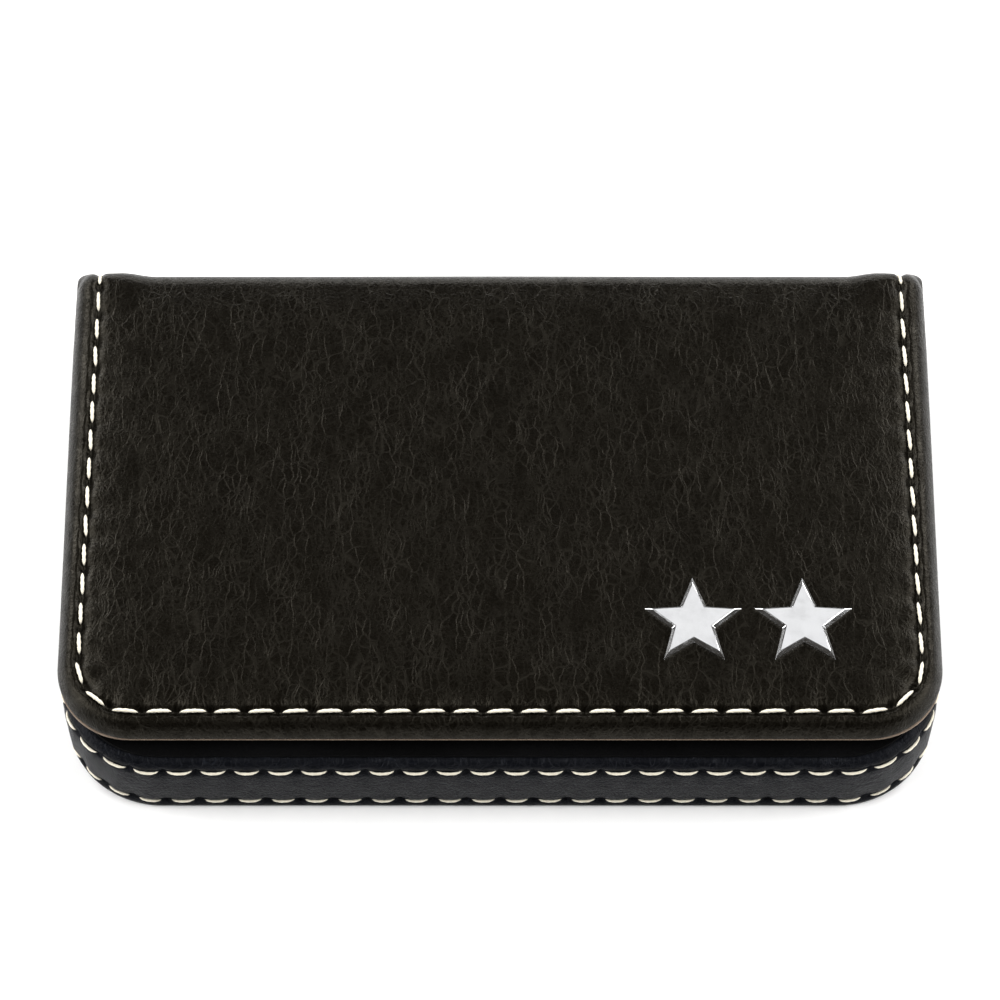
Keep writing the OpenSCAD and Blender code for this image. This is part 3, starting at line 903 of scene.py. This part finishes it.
# %% Draw it, point by point from one corner of a plane
bpy.ops.mesh.primitive_plane_add(size=2 * MM)
wall = bpy.context.active_object
edit(wall)
pick(wall, lambda co: not (co.x > 0 and co.y > 0))
bpy.ops.mesh.delete(type="VERT")
bpy.ops.mesh.select_all(action="SELECT")
first = Vector((1, 1, 0)) * MM
here = Vector((BASE_HALF_W - section[0][0], BASE_BACK - WALL_BACK_R, section[0][1])) * MM
bpy.ops.transform.translate(value=here - first)
for before, after in zip(section, section[1:]):
    step = Vector((before[0] - after[0], 0, after[1] - before[1])) * MM
    bpy.ops.mesh.extrude_vertices_move(TRANSFORM_OT_translate={"value": step})
print("wall section:", len(section), "points")

# %% Two ways to sweep it
SWEEP_STEP = 0.46


def sweep_straight(length, heading):
    """Extrudes the section along a straight side, in steps."""
    steps = round(length / SWEEP_STEP)
    offset = Vector(heading) * (length / steps * MM)
    bpy.ops.mesh.extrude_repeat(steps=steps, offset=offset)


def sweep_corner(cx, cy, r):
    """Spins the section a quarter turn round a corner's centre."""
    bpy.ops.mesh.spin(steps=round(r * math.pi / 2 / SWEEP_STEP), angle=math.pi / 2,
                      center=Vector((cx, cy, 0)) * MM, axis=(0, 0, 1))


# %% Sweep the section round the base
front_x, front_y = BASE_HALF_W - WALL_R, BASE_FRONT + WALL_R
back_x, back_y = BASE_HALF_W - WALL_BACK_R, BASE_BACK - WALL_BACK_R
bpy.ops.mesh.select_all(action="SELECT")
sweep_straight(back_y - front_y, (0, -1, 0))
sweep_corner(front_x, front_y, WALL_R)
sweep_straight(2 * front_x, (-1, 0, 0))
sweep_corner(-front_x, front_y, WALL_R)
sweep_straight(back_y - front_y, (0, 1, 0))
sweep_corner(-back_x, back_y, WALL_BACK_R)
sweep_straight(2 * back_x, (1, 0, 0))
sweep_corner(back_x, back_y, WALL_BACK_R)
bpy.ops.mesh.select_all(action="SELECT")
bpy.ops.mesh.remove_doubles(threshold=0.02 * MM)
bpy.ops.mesh.normals_make_consistent(inside=False)
start_fresh()
swept = points_of(wall)
print("swept wall:", len(swept), "points, from", swept.min(0).round(2), "to",
      swept.max(0).round(2))


# %% Where each point of the wall is along it
def wall_run(x, y):
    """The run along the wall from the back of the left side, and the way out of the wall."""
    ax = np.abs(x)
    in_front = y < front_y
    side = back_y - y
    turn = np.arctan2(np.maximum(front_y - y, 0), np.maximum(ax - front_x, 1e-9))
    corner = in_front & (ax > front_x)
    run = np.where(in_front, WALL_SIDE_RUN + WALL_R * math.pi / 2 + front_x - ax, side)
    run = np.where(corner, WALL_SIDE_RUN + turn * WALL_R, run)
    out_x = np.where(in_front, 0, np.sign(x))
    out_x = np.where(corner, np.sign(x) * np.cos(turn), out_x)
    out_y = np.where(in_front, -1.0, 0.0)
    out_y = np.where(corner, -np.sin(turn), out_y)
    back = (y > back_y) & (ax < back_x)
    back_turn = np.arctan2(np.maximum(y - back_y, 0), np.maximum(ax - back_x, 1e-9))
    back_corner = (y > back_y) & ~back
    out_x = np.where(back, 0, np.where(back_corner, np.sign(x) * np.cos(back_turn), out_x))
    out_y = np.where(back, 1, np.where(back_corner, np.sin(back_turn), out_y))
    run = np.where(back_corner, -back_turn * WALL_BACK_R, run)
    run = np.where(back, -WALL_BACK_R * math.pi / 2 - (back_x - ax), run)
    return run, out_x, out_y


# %% Gather the wall along its two seams
x, y, z = swept.T
run, out_x, out_y = wall_run(x, y)
key = np.where(x > 0, 90, 0)
sewn = smoothstep((run + 1) / 2)
bulge = 0.16 * np.sin(math.pi * np.clip((z - LOWER_SEAM) / (UPPER_SEAM - LOWER_SEAM), 0, 1))
out = bulge             # how far the leather stands out from the hoop
for height, inward in ((UPPER_SEAM, -1), (LOWER_SEAM, 1)):
    off = (z - height) * inward
    out = out + sewn * (gathers(run, off, WALL_PITCH, key + 200 * (inward > 0))
                        - 0.28 * hump(off, 0.45))
on_face = smoothstep((BAND_TOP - 0.35 - z) / 0.7) * smoothstep((z - 0.2) / 0.5)
out = out * on_face
gathered = np.stack([x + out * out_x, y + out * out_y, z], axis=1)
move_points(wall, gathered)
full_run = np.where(x > 0, 2 * (WALL_SIDE_RUN + WALL_R * math.pi / 2 + front_x) - run, run)
write_map(wall, "skin", full_run, z)
finish_piece(wall, "wall_leather", band_leather, body="base")
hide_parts("side_band")

# %% [markdown]
# ## Thread
# A saddle stitch shows as a short length of two-ply thread with both ends pulled down into their
# holes. One stitch is shaped from a sphere drawn out along the seam, with two lobes wound round
# it, then copied along each seam, each copy a touch different, as hand work is.

# %% How a stitch is shaped
STITCH_L = 2.9


def model_stitch(name, length, thick, sag, smile):
    """A stitch along X. sag dips its ends into the skin and smile bends them along Y."""
    bpy.ops.mesh.primitive_uv_sphere_add(segments=8, ring_count=12, radius=1)
    piece = bpy.context.active_object
    piece.name = name
    ball = points_of(piece) * MM
    along = ball[:, 2]
    turn = np.arctan2(ball[:, 1], ball[:, 0])
    t = np.sign(along) * np.abs(np.arcsin(np.clip(along, -1, 1)) / (math.pi / 2))
    radius = thick * (1 - np.abs(t) ** 4.0) ** 0.5 * (0.8 + 0.2 * (1 - t ** 2))
    radius = radius * (1 + 0.16 * np.cos(2 * (turn - 2 * math.pi * 0.9 * t)))
    lift = -sag * np.abs(t) ** 3.0
    across = radius * np.cos(turn) + smile * (t ** 2 - 0.4)
    points = np.stack([t * length / 2, across, radius * np.sin(turn) + lift], 1)
    move_points(piece, points)
    edit(piece)
    bpy.ops.mesh.select_all(action="SELECT")
    bpy.ops.mesh.normals_make_consistent(inside=False)
    start_fresh()
    return piece


# %% A fatter stitch for the lid and two finer ones for the wall
lid_stitch = model_stitch("lid_stitch", STITCH_L, THREAD_R, 0.26, 0)
wall_stitch = model_stitch("wall_stitch", STITCH_L, 0.16, 0.28, 0.2)
low_stitch = model_stitch("low_stitch", STITCH_L - 0.3, 0.15, 0.22, 0.1)
print("one stitch:", len(lid_stitch.data.polygons), "faces")


# %% [markdown]
# ### Sewing
# A row is one stitch copied to a frame at every place on the seam's line, each copy turned
# and stretched a little at random, and then joined into one piece.

# %% Sew a row
def sew(name, stitch, frames, slant, body=None):
    """Copies a stitch to each frame, a 4 by 4 matrix in millimetres, and joins the row."""
    start_fresh()
    copies = []
    for place in frames:
        copy = stitch.copy()
        copy.data = stitch.data.copy()
        bpy.context.collection.objects.link(copy)
        turned = Matrix.Rotation(math.radians(slant + rng.uniform(-1.2, 1.2)), 4, "Z")
        twisted = Matrix.Rotation(rng.uniform(-0.5, 0.5), 4, "X")
        scaled = Matrix.Diagonal((rng.uniform(0.96, 1.03), 1, 1, 1))
        where = place.copy()
        where.translation = where.translation * MM
        copy.data.transform(where @ turned @ scaled)
        copy.select_set(True)
        copies.append(copy)
    bpy.context.view_layer.objects.active = copies[0]
    bpy.ops.object.join()
    row = finish_piece(copies[0], name, thread, body=body)
    print(name, "has", len(frames), "stitches")
    return row


def flat_frame(place, heading, z):
    """A frame for a stitch that lies on a level skin."""
    turned = Matrix.Rotation(math.radians(heading), 4, "Z")
    return Matrix.Translation((place[0], place[1], z)) @ turned


# %% The lid's seam
thread_z = LID_TOP - RIM_DROP - GROOVE + THREAD_R + 0.2
lid_frames = []
for k in range(LID_STITCHES):
    place, heading = seam_frame((k + 0.5) * LID_PITCH, LID_HALF_W, LID_FRONT, LID_BACK, LID_R,
                                SEAM_INSET)
    lid_frames.append(flat_frame(place, heading, thread_z))
lid_row = sew("lid_seam", lid_stitch, lid_frames, 3.0, body="lid")
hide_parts("lid_stitching")


# %% The seam over the roll and down the spine
def back_frame(run, side):
    """A frame for a stitch past the lid's back end, on the roll or on the spine."""
    if run < ROLL_ARC:
        turn = run / UPPER_R
        y = LID_BACK + UPPER_R * math.sin(turn)
        z = LID_TOP - UPPER_R * (1 - math.cos(turn))
    else:
        turn = math.pi / 2
        y = BACK
        z = LID_TOP - UPPER_R - (run - ROLL_ARC)
    normal = Vector((0, math.sin(turn), math.cos(turn)))
    along = Vector((0, -math.cos(turn), math.sin(turn))) * (-side)
    across = normal.cross(along)
    depth = (0.79 - 0.4 * turn / (math.pi / 2)) - THREAD_R - 0.06
    place = Vector((side * (LID_HALF_W - SEAM_INSET), y, z)) - normal * depth
    frame = Matrix((along, across, normal)).transposed().to_4x4()
    frame.translation = place
    return frame


# %% Sew the roll and the spine
roll_frames = [back_frame(0.5 * LID_PITCH, side) for side in (-1, 1)]
roll_row = sew("roll_seam", lid_stitch, roll_frames, 3.0)
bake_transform(roll_row)
spine_frames = [back_frame((k + 0.5) * LID_PITCH, side) for side in (-1, 1) for k in (1, 2, 3)]
spine_row = sew("spine_seam", lid_stitch, spine_frames, 3.0, body="spine")
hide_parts("spine_stitching")


# %% The wall's two rows
def wall_frame_at(run, z, stand):
    """A frame for a stitch that lies against the wall and stands out from it a little."""
    place, heading = seam_frame(run, BASE_HALF_W, BASE_FRONT, BASE_BACK - WALL_BACK_R, WALL_R, 0)
    along = Vector((math.cos(math.radians(heading)), math.sin(math.radians(heading)), 0))
    out = Vector((along.y, -along.x, 0))
    up = out.cross(along)
    frame = Matrix((along, up, out)).transposed().to_4x4()
    frame.translation = Vector((place[0], place[1], z)) + out * stand
    return frame


# %% Sew the wall
wall_rows = (("upper_wall", wall_stitch, UPPER_SEAM, 0.06),
             ("lower_wall", low_stitch, LOWER_SEAM, 0))
for name, stitch, height, stand in wall_rows:
    wall_frames = [wall_frame_at((k + 0.5) * WALL_PITCH, height, stand)
                   for k in range(WALL_STITCHES)]
    row = sew(name + "_seam", stitch, wall_frames, 2.0, body="base")
    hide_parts(name + "_stitching")

for stitch in (lid_stitch, wall_stitch, low_stitch):
    bpy.data.objects.remove(stitch)

# %% [markdown]
# ## The lining's tan edge
# The lid's lining is a tan split leather, cut flush with the rim and left raw, so its edge shows as
# a thin line. It is cut a little fuller at the corners. A plane gets its two front corners rounded
# and is then drawn down to its thickness.

# %% The lining's size
lining_low, lining_high = box_mm("lid_lining")
LINING_R = LID_R - 0.9
lining_low = lining_low + np.array([SIDE_TRIM + 0.05, FRONT_TRIM - 0.05, 0])
lining_high = lining_high - np.array([SIDE_TRIM + 0.05, 0, 0])
print("the lining is", (lining_high - lining_low).round(2), "mm")

# %% Cut it
bpy.ops.mesh.primitive_plane_add(size=1)
lining = bpy.context.active_object
lining.scale = ((lining_high[0] - lining_low[0]) * MM, (lining_high[1] - lining_low[1]) * MM, 1)
lining.location = Vector((0, (lining_high[1] + lining_low[1]) / 2, lining_high[2])) * MM
start_fresh()
lining.select_set(True)
bpy.context.view_layer.objects.active = lining
bpy.ops.object.transform_apply(location=True, rotation=True, scale=True)
edit(lining)
pick(lining, lambda co: co.y < 0)
bpy.ops.mesh.bevel(offset=LINING_R * MM, offset_type="OFFSET", segments=16, affect="VERTICES")
bpy.ops.mesh.select_all(action="SELECT")
thickness = (lining_high[2] - lining_low[2]) * MM
bpy.ops.mesh.extrude_region_move(TRANSFORM_OT_translate={"value": (0, 0, -thickness)})
bpy.ops.mesh.select_all(action="SELECT")
bpy.ops.mesh.normals_make_consistent(inside=False)
start_fresh()

# %% Soften its edges
soften = lining.modifiers.new("soften", "BEVEL")
soften.width = 0.08 * MM
soften.segments = 2
soften.limit_method = "ANGLE"
bpy.context.view_layer.objects.active = lining
lining.select_set(True)
bpy.ops.object.modifier_apply(modifier=soften.name)
finish_piece(lining, "lid_lining_edge", split_leather, body="lid",
             smooth=40)
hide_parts("lid_lining")

# %% [markdown]
# ## Lining over the upper fold
# Inside, a strip of the lining's cloth goes from the spine to the lid's panel, slack when the case
# is shut.

# %% The strip's line, from the spine round to the lid
spine_in = BACK - SPINE_T
turns = np.linspace(0, math.pi / 2, 9)
line = [(spine_in - 0.02, LID_UNDER - 3.2), (spine_in - 0.02, LID_UNDER - 2.2)]
line += [(spine_in - 1.62 + 1.6 * math.cos(t), LID_UNDER - 2.15 + 1.6 * math.sin(t))
         for t in turns]
line += [(spine_in - 2.6, LID_UNDER - 0.55), (spine_in - 3.4, LID_UNDER - 0.55)]
line = np.array(line)
print("the strip is", round(np.hypot(*np.diff(line, axis=0).T).sum(), 1), "mm round the fold")

# %% Lay the strip along its line
bpy.ops.mesh.primitive_grid_add(x_subdivisions=24, y_subdivisions=len(line) - 1, size=2)
strip = bpy.context.active_object
unit = points_of(strip) * MM
row = np.rint((unit[:, 1] + 1) / 2 * (len(line) - 1)).astype(int)
strip_half = box_mm("spine_lining")[1][0]
move_points(strip, np.stack([unit[:, 0] * strip_half, line[row, 0], line[row, 1]], axis=1))
thicken = strip.modifiers.new("cloth", "SOLIDIFY")
thicken.thickness = 0.25 * MM
start_fresh()
strip.select_set(True)
bpy.context.view_layer.objects.active = strip
bpy.ops.object.modifier_apply(modifier=thicken.name)
finish_piece(strip, "upper_fold_lining", lining_cloth, smooth=50)
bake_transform(strip)

# %% [markdown]
# ## Emblems
# Two plain five-pointed stars stand in the corner of the lid. Each starts as a ten-sided disc:
# every other corner is drawn in, the face is raised, and its upper edges are bevelled as a
# polished casting's are.

# %% How a star is made
def model_star(node):
    """A star of the frame's size and place for one of its emblems."""
    low, high = box_mm(node)
    radius = (high[0] - low[0]) / 2 / math.sin(math.radians(72))
    middle = Vector(((low[0] + high[0]) / 2, high[1] - radius, low[2] - 0.1))
    bpy.ops.mesh.primitive_circle_add(vertices=10, radius=radius * MM, fill_type="NGON",
                                      location=middle * MM)
    star = bpy.context.active_object
    start_fresh()
    star.select_set(True)
    bpy.ops.object.transform_apply(location=True, rotation=True, scale=True)
    edit(star)
    centre = middle * MM

    def is_waist(co):
        bearing = math.degrees(math.atan2(co.x - centre.x, co.y - centre.y)) % 72
        return 20 < bearing < 52

    pick(star, is_waist)
    bpy.context.scene.tool_settings.transform_pivot_point = "MEDIAN_POINT"
    bpy.ops.transform.resize(value=(0.44, 0.44, 1), center_override=centre)
    bpy.ops.mesh.select_all(action="SELECT")
    bpy.ops.mesh.extrude_region_move(
        TRANSFORM_OT_translate={"value": (0, 0, (high[2] - middle.z - 0.45) * MM)})
    bpy.ops.mesh.inset(thickness=0.34 * MM, depth=0.45 * MM)
    bpy.ops.mesh.select_all(action="SELECT")
    bpy.ops.mesh.normals_make_consistent(inside=False)
    start_fresh()
    edge = star.modifiers.new("edge", "BEVEL")
    edge.width = 0.07 * MM
    edge.segments = 2
    edge.limit_method = "ANGLE"
    star.select_set(True)
    bpy.context.view_layer.objects.active = star
    bpy.ops.object.modifier_apply(modifier=edge.name)
    finish_piece(star, node + "_star", chrome, body="lid", smooth=10)
    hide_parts(node)
    return star


# %% Both stars
for node in ("emblem_left", "emblem_right"):
    model_star(node)

# %% [markdown]
# ## The frame's own parts
# The boards, tray, cloths and magnets keep their shapes and only take their finishes.

# %% Finishes for the frame's parts
finishes = {
    "base_board": greyboard, "spine_board": greyboard, "lid_board": greyboard,
    "lid_panel": greyboard, "wall_frame": frame_plastic, "card_tray": flock,
    "tray_floor_cloth": lining_cloth, "spine_lining": lining_cloth,
    "lid_panel_cloth": lining_cloth, "base_magnets": magnet_steel,
    "lid_keepers": magnet_steel,
}
for node, material in finishes.items():
    slots = frame["nodes"][node].data.materials
    slots.clear()
    slots.append(material)
print("finished", len(finishes), "frame parts")

# %% [markdown]
# ## Floor and light
# The case lies on white card that fills the view. Two wide soft boxes at the sides make the card
# white. Two smaller ones behind them draw a line along the rims and the pad's sides, a low strip
# behind lights the back roll, and a pale panel high at the back is what the chrome reflects. The
# room is nearly dark, and the light in front is faint, so the leather's rounded front stays black.

# %% Floor
bpy.ops.mesh.primitive_plane_add(size=1.6)
floor = bpy.context.active_object
edit(floor)
bpy.ops.mesh.select_all(action="SELECT")
bpy.ops.mesh.subdivide(number_cuts=7)
start_fresh()
card, tree, shader = new_material("white_backdrop_card", "#fbfbfb", Roughness=0.9)
place = pattern_place(tree, "object", (MM, MM, MM))
tooth = add_node(tree, "ShaderNodeTexNoise", {"Vector": place, "Scale": 0.5, "Detail": 3})
relief = add_node(tree, "ShaderNodeBump", {"Height": tooth.outputs[0], "Strength": 0.05,
                                           "Distance": 0.0002})
tree.links.new(relief.outputs[0], shader.inputs["Normal"])
floor.name = "backdrop"
floor.data.materials.append(card)


# %% A soft light
def soft_box(name, place, size, power):
    """An area light aimed at the case."""
    data = bpy.data.lights.new(name, "AREA")
    data.shape = "RECTANGLE"
    data.size, data.size_y = size
    data.energy = power
    light = bpy.data.objects.new(name, data)
    bpy.context.collection.objects.link(light)
    light.location = place
    towards = Vector((0, 0, 0.01)) - Vector(place)
    light.rotation_euler = towards.to_track_quat("-Z", "Y").to_euler()
    return light


# %% Place them
soft_box("key", (0, -0.55, 1.05), (1.2, 0.4), 0.5)
soft_box("left_box", (-0.85, -0.1, 0.6), (0.7, 1.2), 14)
soft_box("right_box", (0.85, -0.1, 0.6), (0.7, 1.2), 14)
soft_box("left_rim", (-0.6, 0.55, 0.5), (0.35, 0.5), 5)
soft_box("right_rim", (0.6, 0.55, 0.5), (0.35, 0.5), 5)
soft_box("chrome_panel", (0.086, 0.46, 0.89), (0.26, 0.24), 0.2)
soft_box("back_box", (0, 0.85, 0.22), (1.2, 0.2), 4)

# %% The room
world = bpy.data.worlds.new("studio")
bpy.context.scene.world = world
world.use_nodes = True
world.node_tree.nodes["Background"].inputs["Color"].default_value = linear("#fff6ea")
world.node_tree.nodes["Background"].inputs["Strength"].default_value = 0.05
bpy.context.scene.view_settings.view_transform = "Standard"
